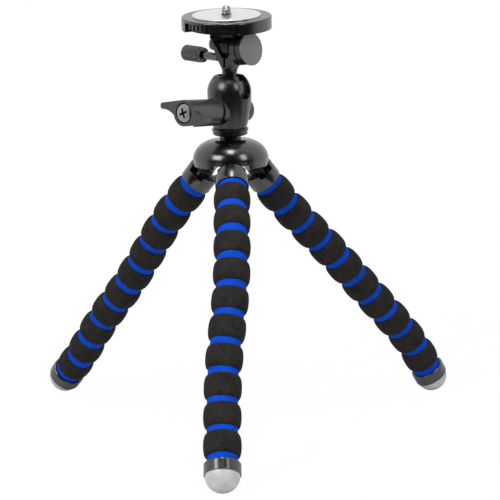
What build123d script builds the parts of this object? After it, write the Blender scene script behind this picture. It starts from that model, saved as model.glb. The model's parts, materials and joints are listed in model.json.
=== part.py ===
from build123d import *
import os
from math import cos, radians, sin, sqrt

# A small camera tripod with three bendable foam legs, a domed hub and a ball head.
# Lengths are in millimetres, angles in degrees, +Z is up and the feet stand on z = 0.
# The front leg points along -Y. The head is turned so that its drop notch faces front right.

# Fits
overrun = 1.0
running_gap = 0.06
seat_gap = 0.05
foam_gap = 0.3
moving_gap = 0.3

# Legs
leg_headings = {"front": -89, "left": 151, "right": 31}
pod_count = 10
pod_pitch = 19.2
groove_width = 4.15
pod_radius = 12.0
pod_end_radius = 10.4
core_radius = 10.0
wire_radius = 1.5

# Lean of each leg from upright and its drift round the hub, socket first and then each pod
leg_leans = {
    "front": (52, 55, 49, 41, 36.5, 35, 34, 33, 32.5, 35, 39.5),
    "left": (40, 43.5, 41.5, 36.5, 35.5, 38, 41.5, 41, 37.5, 38, 48),
    "right": (40, 41, 43.5, 45, 44, 42.5, 43, 43.5, 43, 40, 32.5),
}
leg_drifts = {
    "front": (0, -2.5, -2, -2.5, -5.5, -11, -14, -10.5, -5.5, -3, -2),
    "left": (0, -6.5, -12, -12, -10, -9.5, -10.5, -9, -10, -16, -22.5),
    "right": (0, -2, -3, -4, -4.5, -2, -1.5, -1, 0.5, 0.5, 2),
}

# Leg sockets
hinge_radius = 14.9
hinge_to_ring = 21.2
collar_radius = 11.0
collar_length = 11.0
collar_recess = 2.8
channel_half = 5.7
channel_depth = 3.0
neck_radius = 5.6
neck_groove_depth = 0.6
neck_groove_width = 0.9
neck_groove_count = 3
eye_radius = 4.6
eye_width = 7.0
pin_radius = 1.5
neck_shoulder = 5.5
wire_grip = 6.0

# Feet
cup_radius = 11.7
cup_length = 7.7
foot_radius = 11.0
foot_plug_radius = 7.0
foot_plug_length = 3.4
cup_floor = 2.0

# Hub
dome_radius = 25.15
dome_wall = 2.0
rim_over_hinge = 1.4
equator_rise = 2.5
crown_rise = 12.35
crown_radius = 10.65
lobe_inset = 0.75
lobe_drop = 2.6
lobe_slope = 2.7
lobe_inner_radius = 13.0
slot_half_width = 11.6
core_boss_radius = 7.5
ear_width = 2.2
ear_radius = 4.9
web_rise = 5.5

# Head base
ring_radius = 11.5
ring_height = 2.85
ring_bevel = 0.6
ring_bevel_radius = 10.3
ring_groove_radius = 10.9
ring_groove_height = 1.0
base_neck_radius = 7.1
base_neck_height = 2.7
stud_radius = 4.8
stud_depth = 9.0
spigot_radius = 6.0
spigot_height = 6.5
spigot_flange_radius = 7.2
spigot_flange_height = 1.6

# Ball housing, heights from the ball's centre
head_turn = -41
ball_over_crown = 32.75
housing_radius = 14.6
housing_waist = 1.5
mouth_height = 9.7
mouth_radius = 8.2
foot_ring_radius = 12.1
housing_foot_radius = 10.9
foot_ring_height = 1.54
belly_swell = 0.85
seam_width = 0.5
notch_radius = 5.6

# Ball, liner, stem and yoke
ball_radius = 10.0
ball_gap = 0.25
liner_wall = 0.8
liner_top_angle = 55
liner_bottom_angle = 150
ball_lean = 3.2
stem_radius = 5.0
tilt_rise = 28.7
yoke_base = 12.9
yoke_base_half = 5.0
yoke_outer_slope = 0.47
yoke_flare = 0.445
yoke_inner_slope = 0.8
yoke_floor_gap = 1.2
yoke_floor_half = 2.2
yoke_half_width = 5.5
yoke_top_radius = 7.5
slit_half = 0.9
slit_base = 15.8
axle_radius = 2.4
axle_head_radius = 3.6
axle_head_height = 1.4
axle_boss_radius = 4.0
axle_boss_reach = 14.2

# Tilt cap and its barrel
cap_cant = 10
barrel_radius = 10.0
barrel_length = 9.1
barrel_step = 1.1
cap_reach = 16.9
cap_radius = 10.7
cap_thickness = 1.7
cap_edge = 0.5
cap_crown = 0.5

# Tilt knob
knob_drop = 8.3
knob_radius = 5.3
knob_start = 22.8
knob_length = 16.8
knob_edge = 1.3
knob_collar_length = 2.0
knob_collar_radius = 4.9
knob_shaft_radius = 2.7
knob_screw_radius = 1.7
knob_screw_reach = 4.6

# Clamp lever, with its axis below the ball
lever_drop = 14.0
lever_rise = 4.5
lever_seat = 14.6
boss_radius = 9.2
lever_radius = 8.2
lever_end_radius = 8.6
lever_reach = 45.5
wing_thickness = 4.6
wing_tip_out = 18.4
wing_tip_up = 3.6
wing_tip_radius = 2.1
wing_waist_out = 12.2
wing_waist_up = 0.4
wing_root_out = 8.0
wing_root_up = -2.4
rib_half = 1.6
rib_height = 1.3
rib_length = 24.0
rib_turn = 38
lever_recess_radius = 6.8
lever_recess_depth = 1.2
bolt_radius = 1.6
bolt_head_radius = 5.9
bolt_head_height = 1.6
cross_length = 6.8
cross_width = 1.8
cross_depth = 0.9
nut_seat = 12.6
nut_radius = 7.5
nut_height = 5.2
nut_edge = 1.6
nut_depth = 3.0

# Platform, heights from the tilt axis
platform_tilt = 4
platform_offset = -2.5
platform_radius = 29.7
platform_base_height = 12.0
platform_top = 20.2
cover_thickness = 1.8
skirt_wall = 1.2
base_thickness = 1.9
base_cut_radius = 24.5
window_angle = 82
window_heading = -74
wheel_inset = 1.6
wheel_ribs = 48
wheel_rib_depth = 0.9
wheel_rib_share = 0.5
wheel_top_gap = 0.3
pad_radius = 22.6
pad_height = 1.1
pad_edge = 0.4
screw_radius = 3.175
screw_rise = 5.3
screw_neck_radius = 2.6
screw_neck_rise = 0.3
screw_tip = 0.5
screw_hole_gap = 0.4
screw_flange_radius = 6.4
screw_flange_height = 1.3
tongue_half = 6.9
tongue_half_width = 5.2
tongue_spread = 20
tongue_flare = 0.3
tongue_hub_radius = 6.2
tongue_block_start = 7.9


def turned(*edges):
    """A solid of revolution about Z from a closed profile drawn in radius and height."""
    profile = make_face(Curve() + list(edges))
    return revolve(Plane.XZ * profile, Axis.Z)


def turned_outline(points):
    return turned(Polyline(*points, close=True))


def crown_arc(radius, base, rise):
    """A shallow arc from the given radius to the axis, level where it meets the axis."""
    sphere = (radius * radius + rise * rise) / (2 * rise)
    half = radius / 2
    middle = base + rise - sphere + sqrt(sphere * sphere - half * half)
    return ThreePointArc((radius, base), (half, middle), (0, base + rise))


def along_x(shape):
    return Rot(0, 90, 0) * shape


def along_y(shape):
    return Rot(-90, 0, 0) * shape


def direction(heading, lean):
    flat = sin(radians(lean))
    return Vector(flat * cos(radians(heading)), flat * sin(radians(heading)), -cos(radians(lean)))


def frame_at(point, heading, lean):
    """A local frame whose -Z runs down the leg and whose X leans outwards."""
    outward = Vector(
        cos(radians(lean)) * cos(radians(heading)),
        cos(radians(lean)) * sin(radians(heading)),
        sin(radians(lean)),
    )
    return Plane(origin=point, x_dir=outward, z_dir=-direction(heading, lean)).location


def hinge_point(leg):
    heading = radians(leg_headings[leg])
    return Vector(hinge_radius * cos(heading), hinge_radius * sin(heading), hinge_height)


def leg_chain(leg, extra_lean):
    """The frames of the socket's hinge, of each ring and of the last ring at the foot."""
    heading = leg_headings[leg]
    leans = [lean + extra_lean for lean in leg_leans[leg]]
    headings = [heading + drift for drift in leg_drifts[leg]]
    point = hinge_point(leg)
    frames = [frame_at(point, headings[0], leans[0])]
    point = point + direction(headings[0], leans[0]) * hinge_to_ring
    for number in range(1, pod_count + 1):
        frames.append(frame_at(point, headings[number], leans[number]))
        point = point + direction(headings[number], leans[number]) * pod_pitch
    frames.append(frame_at(point, headings[-1], leans[-1]))
    return frames


def foot_centre():
    """Distance down the leg from the last ring to the middle of the foot's dome."""
    return groove_width / 2 + cup_length


def standing_height():
    """Height of the hinges over the ground, a mean of the legs with their leans as drawn."""
    drops = []
    for leans in leg_leans.values():
        drop = hinge_to_ring * cos(radians(leans[0])) + foot_centre() * cos(radians(leans[-1]))
        drop += sum(pod_pitch * cos(radians(lean)) for lean in leans[1:])
        drops.append(drop + foot_radius)
    return sum(drops) / len(drops)


# Sizes that follow from those above
hinge_height = standing_height()
rim_height = hinge_height + rim_over_hinge
ball_height = rim_height + equator_rise + crown_rise + ball_over_crown
lobe_radius = dome_radius - lobe_inset
wheel_radius = platform_radius - wheel_inset
yoke_floor = tilt_rise - tongue_hub_radius - yoke_floor_gap
knob_height = tilt_rise - knob_drop


def foot_clearance(leg, extra_lean):
    ankle = leg_chain(leg, extra_lean)[-1]
    return (ankle * Pos(0, 0, -foot_centre())).position.Z - foot_radius


def standing_chain(leg):
    """The leg's frames with the lean corrected until its foot touches z = 0."""
    low, high = -12.0, 12.0
    for step in range(40):
        middle = (low + high) / 2
        if foot_clearance(leg, middle) < 0:
            low = middle
        else:
            high = middle
    return leg_chain(leg, (low + high) / 2)


def pod():
    half = (pod_pitch - groove_width) / 2
    bore = core_radius + foam_gap
    profile = [
        Line((bore, -half), (pod_end_radius, -half)),
        ThreePointArc((pod_end_radius, -half), (pod_radius, 0), (pod_end_radius, half)),
        Line((pod_end_radius, half), (bore, half)),
        Line((bore, half), (bore, -half)),
    ]
    return Pos(0, 0, -pod_pitch / 2) * turned(*profile)


def core_tube(chain):
    """The blue foam core: one tube that bends a little at each ring."""
    top = chain[0] * Pos(0, 0, -hinge_to_ring + groove_width / 2 + collar_recess - foam_gap)
    places = [top] + chain[1:-1]
    places.append(chain[-1] * Pos(0, 0, -groove_width / 2 - cup_floor))
    outer = [place * Circle(core_radius) for place in places]
    inner = [place * Circle(wire_radius + seat_gap) for place in places]
    return loft(outer, ruled=True) - loft(inner, ruled=True)


def core_wire(chain):
    top = chain[0] * Pos(0, 0, -hinge_to_ring + groove_width / 2 + collar_recess + wire_grip)
    places = [top] + chain[1:-1]
    places.append(chain[-1] * Pos(0, 0, -groove_width / 2 - cup_floor - foot_plug_length))
    return loft([place * Circle(wire_radius) for place in places], ruled=True)


def leg_socket():
    """The flat-topped collar with a channel across it, the ribbed neck and the hinge eye."""
    bottom = -hinge_to_ring + groove_width / 2
    top = bottom + collar_length
    collar = Pos(0, 0, (bottom + top) / 2) * Cylinder(collar_radius, collar_length)
    collar -= Pos(0, 0, top - (channel_depth - overrun) / 2) * Box(
        2 * channel_half, 2 * (collar_radius + overrun), channel_depth + overrun
    )
    floor = bottom + collar_recess
    collar -= Pos(0, 0, (bottom - overrun + floor) / 2) * Cylinder(
        core_radius + foam_gap, collar_recess + overrun
    )
    neck_top = -neck_shoulder
    neck = Pos(0, 0, (floor + neck_top) / 2) * Cylinder(neck_radius, neck_top - floor)
    first = top - channel_depth + neck_groove_width / 2
    step = (neck_top - first) / neck_groove_count
    for number in range(neck_groove_count):
        ring = Cylinder(neck_radius + overrun, neck_groove_width)
        ring -= Cylinder(neck_radius - neck_groove_depth, neck_groove_width)
        neck -= Pos(0, 0, first + (number + 0.5) * step) * ring
    lug = Pos(0, 0, neck_top / 2) * Box(2 * eye_radius, eye_width, -neck_top)
    eye = along_y(Cylinder(eye_radius, eye_width))
    socket = collar + neck + lug + eye
    socket -= along_y(Cylinder(pin_radius + running_gap, 2 * eye_width))
    socket -= Pos(0, 0, floor + wire_grip / 2) * Cylinder(
        wire_radius + seat_gap, wire_grip + 2 * seat_gap
    )
    return socket


def foot_cup():
    top = -groove_width / 2
    bottom = top - cup_length
    cup = Pos(0, 0, (top + bottom) / 2) * Cylinder(cup_radius, cup_length)
    cup = fillet(cup.edges().group_by(Axis.Z)[-1], cup_floor / 2)
    cup -= Pos(0, 0, top - (cup_floor + foam_gap - overrun) / 2) * Cylinder(
        core_radius + foam_gap, cup_floor + foam_gap + overrun
    )
    cup -= Pos(0, 0, bottom + (foot_plug_length - overrun) / 2) * Cylinder(
        foot_plug_radius, foot_plug_length + overrun
    )
    cup -= Pos(0, 0, (top + bottom) / 2) * Cylinder(wire_radius + seat_gap, cup_length)
    return cup


def rubber_foot():
    dome = Sphere(foot_radius) - Pos(0, 0, foot_radius) * Box(
        2 * (foot_radius + overrun), 2 * (foot_radius + overrun), 2 * foot_radius
    )
    plug = Pos(0, 0, (foot_plug_length - overrun) / 2 - seat_gap / 2) * Cylinder(
        foot_plug_radius - seat_gap, foot_plug_length + overrun - seat_gap
    )
    foot = dome + plug
    foot -= Pos(0, 0, foot_plug_length) * Cylinder(
        wire_radius + 2 * seat_gap, 2 * (foot_plug_length - cup_floor / 2)
    )
    return Pos(0, 0, -foot_centre()) * foot


def dome_outline(shrink):
    """Half of the dome's round outline, from the rim to the crown, as radius and height."""
    radius = dome_radius - shrink
    rise = crown_rise - shrink
    equator = rim_height + equator_rise
    crown = (crown_radius, equator + rise)
    shoulder_share = (0.79, 0.72)
    cheek_share = (0.945, 0.35)
    brow_share = (0.62, 0.905)
    shoulder = (radius * shoulder_share[0], equator + rise * shoulder_share[1])
    cheek = (radius * cheek_share[0], equator + rise * cheek_share[1])
    brow = (radius * brow_share[0], equator + rise * brow_share[1])
    return [
        Line((radius - equator_rise / 8, rim_height), (radius, equator)),
        ThreePointArc((radius, equator), cheek, shoulder),
        ThreePointArc(shoulder, brow, crown),
    ], crown


def hub_dome():
    outer_edges, outer_crown = dome_outline(0)
    inner_edges, inner_crown = dome_outline(dome_wall)
    outer = outer_edges + [
        Line(outer_crown, (0, outer_crown[1])),
        Line((0, outer_crown[1]), (0, rim_height)),
        Line((0, rim_height), (dome_radius - equator_rise / 8, rim_height)),
    ]
    inner_start = dome_radius - dome_wall - equator_rise / 8
    inner = inner_edges + [
        Line(inner_crown, (0, inner_crown[1])),
        Line((0, inner_crown[1]), (0, rim_height)),
        Line((0, rim_height), (inner_start, rim_height)),
    ]
    dome = turned(*outer) - turned(*inner)
    dome -= Pos(0, 0, outer_crown[1]) * Cylinder(stud_radius + seat_gap, 4 * dome_wall)
    return dome + hub_lobes()


def hub_lobes():
    """The three solid lobes under the rim, one between each pair of legs."""
    bottom = rim_height - lobe_drop
    lobes = turned_outline([
        (0, rim_height + equator_rise / 2),
        (lobe_radius, rim_height + equator_rise / 2),
        (lobe_radius, bottom),
        (lobe_inner_radius, bottom - lobe_slope),
        (0, bottom - lobe_slope),
    ])
    for heading in leg_headings.values():
        slot = Pos(dome_radius, 0, rim_height) * Box(
            2 * dome_radius, 2 * slot_half_width, 2 * dome_radius
        )
        lobes -= Rot(0, 0, heading) * slot
    return lobes


def hub_core():
    """The block inside the dome with a pair of hinge ears for each leg."""
    crown = rim_height + equator_rise + crown_rise - dome_wall
    bottom = hinge_height - ear_radius / 2
    core = Pos(0, 0, (bottom + crown) / 2) * Cylinder(core_boss_radius, crown - bottom)
    slot_half = eye_width / 2 + moving_gap / 2
    half = slot_half + ear_width
    for heading in leg_headings.values():
        web = Pos(hinge_radius / 2, 0, hinge_height + web_rise / 2) * Box(
            hinge_radius, 2 * half, web_rise
        )
        ear = Pos(hinge_radius, 0, hinge_height) * along_y(Cylinder(ear_radius, 2 * half))
        arm = web + ear
        slot_start = hinge_radius - eye_radius - moving_gap
        slot = Pos(slot_start + dome_radius / 2, 0, hinge_height) * Box(
            dome_radius, 2 * slot_half, 4 * ear_radius
        )
        arm -= slot
        core += Rot(0, 0, heading) * arm
    for heading in leg_headings.values():
        hole = Pos(hinge_radius, 0, hinge_height) * along_y(
            Cylinder(pin_radius + seat_gap, 2 * (half + overrun))
        )
        core -= Rot(0, 0, heading) * hole
    core -= Pos(0, 0, crown) * Cylinder(stud_radius + seat_gap, 2 * (stud_depth - dome_wall))
    return core


def hinge_pins():
    half = eye_width / 2 + moving_gap / 2 + ear_width
    pins = []
    for heading in leg_headings.values():
        pin = along_y(Cylinder(pin_radius, 2 * half))
        pins.append(Rot(0, 0, heading) * Pos(hinge_radius, 0, hinge_height) * pin)
    return Compound(children=pins)


def head_base():
    """The neck and ring under the housing, with a stud below and a flanged spigot above."""
    crown = rim_height + equator_rise + crown_rise
    ring_bottom = crown + base_neck_height
    ring_top = ring_bottom + ring_height
    spigot_top = ring_top + spigot_height
    flange_bottom = spigot_top - spigot_flange_height
    return turned_outline([
        (0, crown - stud_depth + dome_wall),
        (stud_radius, crown - stud_depth + dome_wall),
        (stud_radius, crown),
        (base_neck_radius, crown),
        (base_neck_radius, ring_bottom),
        (ring_bevel_radius, ring_bottom),
        (ring_radius, ring_bottom + ring_bevel),
        (ring_radius, ring_top - ring_groove_height),
        (ring_groove_radius, ring_top - ring_groove_height),
        (ring_groove_radius, ring_top),
        (spigot_radius, ring_top),
        (spigot_radius, flange_bottom),
        (spigot_flange_radius, flange_bottom),
        (spigot_flange_radius, spigot_top),
        (0, spigot_top),
    ])


def head_place():
    return Pos(0, 0, ball_height) * Rot(0, 0, head_turn)


def base_ring_top():
    """Height of the base ring's top, seen from the ball's centre."""
    crown = rim_height + equator_rise + crown_rise
    return crown + base_neck_height + ring_height - ball_height


def housing():
    """The egg-shaped clamp in two halves, split along the drop notch."""
    foot_bottom = base_ring_top() + running_gap
    foot_top = foot_bottom + foot_ring_height
    waist = -housing_waist
    mouth = shell_point(mouth_height)
    widest = (housing_radius, waist)
    belly = ((housing_radius + housing_foot_radius) / 2 + belly_swell, (waist + foot_top) / 2)
    edges = [
        Line((0, mouth_height), mouth),
        ThreePointArc(mouth, shell_point(mouth_height / 2), widest),
        ThreePointArc(widest, belly, (housing_foot_radius, foot_top)),
        Line((housing_foot_radius, foot_top), (foot_ring_radius, foot_top)),
        Line((foot_ring_radius, foot_top), (foot_ring_radius, foot_bottom)),
        Line((foot_ring_radius, foot_bottom), (0, foot_bottom)),
        Line((0, foot_bottom), (0, mouth_height)),
    ]
    body = turned(*edges)
    body += lever_place() * Pos(0, 0, lever_seat / 2) * Cylinder(boss_radius, lever_seat)
    body -= lever_place() * Pos(0, 0, lever_seat + lever_reach / 2) * Cylinder(
        boss_radius, lever_reach
    )
    body -= lever_place() * Pos(0, 0, -nut_seat - nut_height / 2) * Cylinder(
        nut_radius + seat_gap, nut_height
    )
    cavity_radius = ball_radius + 2 * ball_gap + liner_wall
    body -= Sphere(cavity_radius)
    body -= Pos(0, 0, mouth_height) * Cylinder(mouth_radius, 2 * (mouth_height - ball_radius / 2))
    notch = Pos(housing_radius, 0, 0) * along_x(Cylinder(notch_radius, 2 * housing_radius))
    notch += Pos(housing_radius, 0, mouth_height) * Box(
        2 * housing_radius, 2 * notch_radius, 2 * mouth_height
    )
    body -= notch
    spigot_top = base_ring_top() + spigot_height
    flange_bottom = spigot_top - spigot_flange_height
    body -= Pos(0, 0, (foot_bottom + spigot_top) / 2) * Cylinder(
        spigot_radius + running_gap, spigot_top - foot_bottom + overrun
    )
    body -= Pos(0, 0, (flange_bottom + spigot_top) / 2) * Cylinder(
        spigot_flange_radius + running_gap, spigot_flange_height + 2 * moving_gap
    )
    body -= lever_place() * Cylinder(bolt_radius + running_gap, 4 * housing_radius)
    side = 4 * (housing_radius + lever_seat)
    keep = Pos(0, side / 2 + seam_width / 2, 0) * Box(side, side, side)
    rear = body & keep
    front = body & (Rot(0, 0, 180) * keep)
    return front, rear


def shell_point(height):
    """The point of the housing's round upper shell at a height over the ball's centre."""
    rise = height + housing_waist
    return (sqrt(housing_radius * housing_radius - rise * rise), height)


def ball_liner():
    inner = ball_radius + ball_gap
    outer = inner + liner_wall
    shell = Sphere(outer) - Sphere(inner)
    top = outer * cos(radians(liner_top_angle))
    bottom = outer * cos(radians(liner_bottom_angle))
    side = 4 * outer
    shell -= Pos(0, 0, top + side / 2) * Box(side, side, side)
    shell -= Pos(0, 0, bottom - side / 2) * Box(side, side, side)
    return shell


def yoke_outer(height):
    return yoke_base_half + yoke_outer_slope * (height - yoke_base)


def yoke_inner(height):
    return yoke_floor_half + yoke_inner_slope * (height - yoke_floor)


def stem_place():
    return head_place() * Rot(0, ball_lean, 0)


def cap_place():
    return Pos(cap_reach, 0, tilt_rise) * Rot(0, 90 - cap_cant, 0)


def ball_stem():
    """The ball, its round stem and the V-shaped yoke that holds the platform's tongue."""
    top = tilt_rise + yoke_top_radius
    outline = [
        (-yoke_base_half, yoke_base),
        (yoke_base_half, yoke_base),
        (yoke_outer(top), top),
        (yoke_inner(top), top),
        (yoke_floor_half, yoke_floor),
        (-yoke_floor_half, yoke_floor),
        (-yoke_inner(top), top),
        (-yoke_outer(top), top),
    ]
    face = Plane.XZ * make_face(Polyline(*outline, close=True))
    yoke = extrude(face, yoke_half_width, both=True)
    reach = 2 * yoke_outer(top)
    envelope = Pos(0, 0, tilt_rise) * along_x(Cylinder(yoke_top_radius, reach))
    envelope += Pos(0, 0, tilt_rise / 2) * Box(reach, 2 * yoke_half_width, tilt_rise)
    yoke &= envelope
    flare_height = top - yoke_base
    yoke &= Pos(0, 0, yoke_base + flare_height / 2) * Cone(
        stem_radius, stem_radius + yoke_flare * flare_height, flare_height
    )
    rear_boss = Pos(-axle_boss_reach / 2 - yoke_inner(tilt_rise) / 2, 0, tilt_rise) * along_x(
        Cylinder(axle_boss_radius, axle_boss_reach - yoke_inner(tilt_rise))
    )
    barrel = Cylinder(barrel_radius, barrel_length) - (
        Cylinder(barrel_radius + overrun, barrel_step)
        - Cylinder(barrel_radius - barrel_step / 2, barrel_step)
    )
    barrel = cap_place() * Pos(0, 0, -barrel_length / 2) * barrel
    barrel -= Pos(0, 0, tilt_rise) * along_x(
        Cylinder(2 * barrel_radius, 2 * (tongue_half + moving_gap))
    )
    stem = Sphere(ball_radius) + Pos(0, 0, yoke_base / 2) * Cylinder(stem_radius, yoke_base)
    stem = stem + yoke + rear_boss + barrel
    stem -= cap_place() * Pos(0, 0, cap_thickness / 2) * Cylinder(2 * cap_radius, cap_thickness)
    stem -= Pos(0, 0, tilt_rise) * turned_tongue_space()
    stem -= Pos(0, 0, tilt_rise) * along_x(Cylinder(axle_radius + seat_gap, 2 * cap_reach))
    slit_height = yoke_floor - slit_base
    stem -= Pos(0, 0, slit_base + slit_height / 2) * Box(
        2 * slit_half, 4 * yoke_half_width, slit_height + overrun
    )
    hole_start = -yoke_outer(knob_height) - overrun
    hole_length = knob_screw_reach + seat_gap - hole_start
    stem -= Pos(hole_start + hole_length / 2, 0, knob_height) * along_x(
        Cylinder(knob_screw_radius + running_gap, hole_length)
    )
    return stem


def turned_tongue_space():
    """Room for the tongue's hub between the yoke's arms, where barrel and boss would reach in."""
    reach = yoke_inner(tilt_rise)
    radius = tilt_rise - yoke_floor
    profile = Plane.XY * make_face(Polyline(
        (-reach, 0),
        (-yoke_floor_half, radius),
        (yoke_floor_half, radius),
        (reach, 0),
        close=True,
    ))
    return revolve(profile, Axis.X)


def tilt_axle():
    rear = -axle_boss_reach
    front = cap_reach - cap_thickness / 2
    shaft = Pos((rear + front) / 2, 0, tilt_rise) * along_x(Cylinder(axle_radius, front - rear))
    head = Pos(rear - axle_head_height / 2, 0, tilt_rise) * along_x(
        Cylinder(axle_head_radius, axle_head_height)
    )
    return shaft + head


def tilt_cap():
    face_radius = cap_radius - cap_edge
    edges = [
        Line((0, 0), (face_radius, 0)),
        Line((face_radius, 0), (cap_radius, cap_edge)),
        Line((cap_radius, cap_edge), (cap_radius, cap_thickness)),
        Line((cap_radius, cap_thickness), (face_radius, cap_thickness)),
        crown_arc(face_radius, cap_thickness, cap_crown),
        Line((0, cap_thickness + cap_crown), (0, 0)),
    ]
    return cap_place() * turned(*edges)


def tilt_knob():
    """The knurled knob, its bright shaft and the screw that pinches the yoke."""
    face = yoke_outer(knob_height + knob_shaft_radius) + moving_gap
    end = knob_start + knob_length
    profile = [
        (0, -knob_screw_reach),
        (knob_screw_radius, -knob_screw_reach),
        (knob_screw_radius, face),
        (knob_shaft_radius, face),
        (knob_shaft_radius, knob_start),
        (knob_collar_radius, knob_start),
        (knob_collar_radius, knob_start + knob_collar_length),
        (knob_radius, knob_start + knob_collar_length),
        (knob_radius, end - knob_edge),
        (knob_radius - knob_edge, end),
        (0, end),
    ]
    return Pos(0, 0, knob_height) * Rot(0, -90, 0) * turned_outline(profile)


def lever_place():
    """Z of this frame runs out and a little up along the lever's axis, away from the housing."""
    return Pos(0, 0, -lever_drop) * Rot(90 - lever_rise, 0, 0)


def clamp_lever():
    """The barrel with a two-ended wing at its end and a rib along its underside."""
    start = lever_seat + moving_gap / 2
    barrel = turned_outline([
        (0, start),
        (lever_radius, start),
        (lever_end_radius, lever_reach),
        (0, lever_reach),
    ])
    wing = Pos(0, 0, lever_reach - wing_thickness) * extrude(wing_face(), wing_thickness)
    lever = barrel + wing + Rot(0, 0, 180) * wing
    rib = Pos(0, -lever_end_radius, lever_reach - wing_thickness - rib_length / 2) * Box(
        2 * rib_half, 2 * rib_height, rib_length
    )
    lever += Rot(0, 0, rib_turn) * rib
    lever -= Pos(0, 0, lever_reach) * Cylinder(lever_recess_radius, 2 * lever_recess_depth)
    lever -= Cylinder(bolt_radius + seat_gap, 4 * lever_reach)
    return lever_place() * lever


def wing_face():
    """One wing: a straight upper edge tangent to the barrel and a hollow lower edge."""
    out = sqrt(wing_tip_out * wing_tip_out + wing_tip_up * wing_tip_up)
    along = (-wing_tip_out / out, wing_tip_up / out)
    share = (lever_end_radius - wing_tip_radius) / out
    side = sqrt(1 - share * share)
    normal = (along[0] * share + along[1] * side, along[1] * share - along[0] * side)
    tip = (-wing_tip_out, wing_tip_up)
    upper = (tip[0] + wing_tip_radius * normal[0], tip[1] + wing_tip_radius * normal[1])
    far = (tip[0] + wing_tip_radius * along[0], tip[1] + wing_tip_radius * along[1])
    lower = (tip[0], tip[1] - wing_tip_radius)
    start = (lever_end_radius * normal[0], lever_end_radius * normal[1])
    waist = (-wing_waist_out, wing_waist_up)
    root = (-wing_root_out, wing_root_up)
    edges = [
        Line(start, upper),
        ThreePointArc(upper, far, lower),
        ThreePointArc(lower, waist, root),
        Line(root, (0, 0)),
        Line((0, 0), start),
    ]
    return make_face(Curve() + edges)


def lever_screw():
    """The long cross-head screw from the lever's end through the housing to the nut."""
    seat = lever_reach - lever_recess_depth
    top = seat + bolt_head_height
    tip = -nut_seat - nut_depth
    screw = turned_outline([
        (0, tip),
        (bolt_radius, tip),
        (bolt_radius, seat),
        (bolt_head_radius, seat),
        (bolt_head_radius, top - cross_depth / 2),
        (bolt_head_radius - cross_depth / 2, top),
        (0, top),
    ])
    bar = Box(cross_length, cross_width, 2 * cross_depth)
    cross = bar + Rot(0, 0, 90) * bar
    screw -= Pos(0, 0, top) * Rot(0, 0, 45 / 2) * cross
    return lever_place() * screw


def clamp_nut():
    start = -nut_seat
    end = start - nut_height
    nut = turned_outline([
        (0, start),
        (nut_radius, start),
        (nut_radius, end + nut_edge),
        (nut_radius - nut_edge, end),
        (0, end),
    ])
    nut -= Pos(0, 0, start) * Cylinder(bolt_radius + running_gap, 2 * (nut_depth + moving_gap))
    return lever_place() * nut


def platform_place():
    return stem_place() * Pos(0, 0, tilt_rise) * Rot(platform_tilt, 0, 0)


def wedge(radius, angle, height):
    """A pie-shaped block of the given opening angle about the X axis."""
    half = radians(angle / 2)
    face = Plane.XY * make_face(Polyline(
        (0, 0),
        (radius * cos(half), radius * sin(half)),
        (radius, 0),
        (radius * cos(half), -radius * sin(half)),
        close=True,
    ))
    return extrude(face, height)


def windows(height):
    cut = wedge(2 * platform_radius, window_angle, height)
    return Rot(0, 0, window_heading) * cut + Rot(0, 0, window_heading + 180) * cut


def platform_base():
    """The plate under the wheel, with the tongue that turns between the yoke's arms."""
    base_bottom = platform_base_height
    base_top = base_bottom + base_thickness
    inner = platform_radius - skirt_wall - seat_gap
    plate = Cylinder(inner, base_thickness)
    trimmed = Cylinder(base_cut_radius, base_thickness)
    plate -= Pos(0, 0, -base_thickness) * windows(2 * base_thickness)
    plate += trimmed
    plate = Pos(platform_offset, 0, (base_bottom + base_top) / 2) * plate
    spread = tongue_block_start * sin(radians(tongue_spread))
    side_face = Plane.YZ * make_face(Polyline(
        (0, 0),
        (spread, tongue_block_start),
        (tongue_half_width, tongue_block_start),
        (tongue_half_width, base_top),
        (-tongue_half_width, base_top),
        (-tongue_half_width, tongue_block_start),
        (-spread, tongue_block_start),
        close=True,
    ))
    far_side = tongue_half + tongue_flare * base_top
    front_face = Plane.XZ * make_face(Polyline(
        (tongue_half, 0),
        (tongue_half, base_top),
        (-far_side, base_top),
        (-tongue_half, 0),
        close=True,
    ))
    tongue = extrude(side_face, far_side, both=True) & extrude(front_face, far_side, both=True)
    hub_end = yoke_inner(tilt_rise) - moving_gap
    hub_face = Plane.XY * make_face(Polyline(
        (-hub_end, 0),
        (-hub_end + yoke_inner_slope * tongue_hub_radius, tongue_hub_radius),
        (hub_end - yoke_inner_slope * tongue_hub_radius, tongue_hub_radius),
        (hub_end, 0),
        close=True,
    ))
    hub = revolve(hub_face, Axis.X)
    base = plate + tongue + hub
    base -= along_x(Cylinder(axle_radius + running_gap, 4 * cap_reach))
    return base


def platform_cover():
    """The smooth top disc with a skirt, open in two windows where the wheel shows."""
    height = platform_top - platform_base_height
    cover = Cylinder(platform_radius, height)
    cover = fillet(cover.edges().group_by(Axis.Z)[-1], cover_thickness / 2)
    room = height - cover_thickness
    cover -= Pos(0, 0, -cover_thickness / 2 - overrun / 2) * Cylinder(
        platform_radius - skirt_wall, room + overrun
    )
    cover = Pos(0, 0, (platform_top + platform_base_height) / 2) * cover
    window_top = platform_top - cover_thickness
    cover -= Pos(0, 0, window_top - 2 * height) * windows(2 * height)
    cover -= Pos(0, 0, platform_top) * Cylinder(screw_radius + screw_hole_gap, 4 * cover_thickness)
    return Pos(platform_offset, 0, 0) * cover


def wheel_span():
    bottom = platform_base_height + base_thickness + moving_gap
    top = platform_top - cover_thickness - wheel_top_gap
    return bottom, top


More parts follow.
